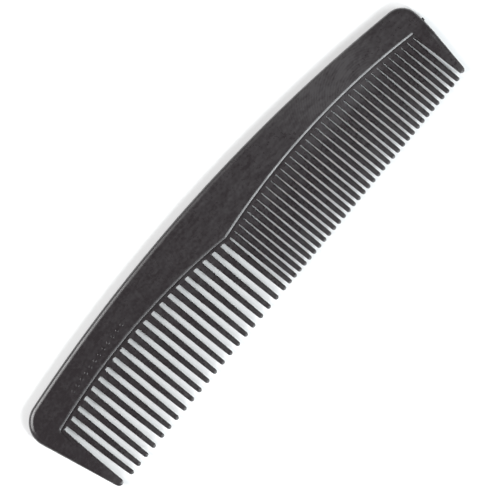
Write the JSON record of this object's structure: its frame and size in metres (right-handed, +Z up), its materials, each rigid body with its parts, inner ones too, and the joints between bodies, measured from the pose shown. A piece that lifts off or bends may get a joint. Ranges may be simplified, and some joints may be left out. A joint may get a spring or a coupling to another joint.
{
  "type": "hair comb",
  "caption": "Flat plastic dressing comb with a curved back, coarse teeth on one half, fine teeth on the other and a wide guard tooth at each end.",
  "frame": {"origin": "centre of the footprint, on the surface that the comb lies flat on", "axes": "+X from the coarse end to the fine end, +Y from the tooth tips to the back, +Z up through the thickness"},
  "size_m": [0.127, 0.0288, 0.0032],
  "materials": {
    "moulded_plastic": "near-black injection-moulded plastic, satin, with a faint flow pattern"
  },
  "bodies": {
    "root": {"spine": "moulded_plastic", "coarse_end_guard": "moulded_plastic", "coarse_tooth_01": "moulded_plastic", "coarse_tooth_02": "moulded_plastic", "coarse_tooth_03": "moulded_plastic", "coarse_tooth_04": "moulded_plastic", "coarse_tooth_05": "moulded_plastic", "coarse_tooth_06": "moulded_plastic", "coarse_tooth_07": "moulded_plastic", "coarse_tooth_08": "moulded_plastic", "coarse_tooth_09": "moulded_plastic", "coarse_tooth_10": "moulded_plastic", "coarse_tooth_11": "moulded_plastic", "coarse_tooth_12": "moulded_plastic", "coarse_tooth_13": "moulded_plastic", "coarse_tooth_14": "moulded_plastic", "coarse_tooth_15": "moulded_plastic", "coarse_tooth_16": "moulded_plastic", "coarse_tooth_17": "moulded_plastic", "coarse_tooth_18": "moulded_plastic", "coarse_tooth_19": "moulded_plastic", "coarse_tooth_20": "moulded_plastic", "coarse_tooth_21": "moulded_plastic", "fine_tooth_01": "moulded_plastic", "fine_tooth_02": "moulded_plastic", "fine_tooth_03": "moulded_plastic", "fine_tooth_04": "moulded_plastic", "fine_tooth_05": "moulded_plastic", "fine_tooth_06": "moulded_plastic", "fine_tooth_07": "moulded_plastic", "fine_tooth_08": "moulded_plastic", "fine_tooth_09": "moulded_plastic", "fine_tooth_10": "moulded_plastic", "fine_tooth_11": "moulded_plastic", "fine_tooth_12": "moulded_plastic", "fine_tooth_13": "moulded_plastic", "fine_tooth_14": "moulded_plastic", "fine_tooth_15": "moulded_plastic", "fine_tooth_16": "moulded_plastic", "fine_tooth_17": "moulded_plastic", "fine_tooth_18": "moulded_plastic", "fine_tooth_19": "moulded_plastic", "fine_tooth_20": "moulded_plastic", "fine_tooth_21": "moulded_plastic", "fine_tooth_22": "moulded_plastic", "fine_tooth_23": "moulded_plastic", "fine_tooth_24": "moulded_plastic", "fine_tooth_25": "moulded_plastic", "fine_tooth_26": "moulded_plastic", "fine_tooth_27": "moulded_plastic", "fine_tooth_28": "moulded_plastic", "fine_tooth_29": "moulded_plastic", "fine_tooth_30": "moulded_plastic", "fine_tooth_31": "moulded_plastic", "fine_tooth_32": "moulded_plastic", "fine_tooth_33": "moulded_plastic", "fine_tooth_34": "moulded_plastic", "fine_tooth_35": "moulded_plastic", "fine_end_guard": "moulded_plastic"}
  },
  "joints": []
}
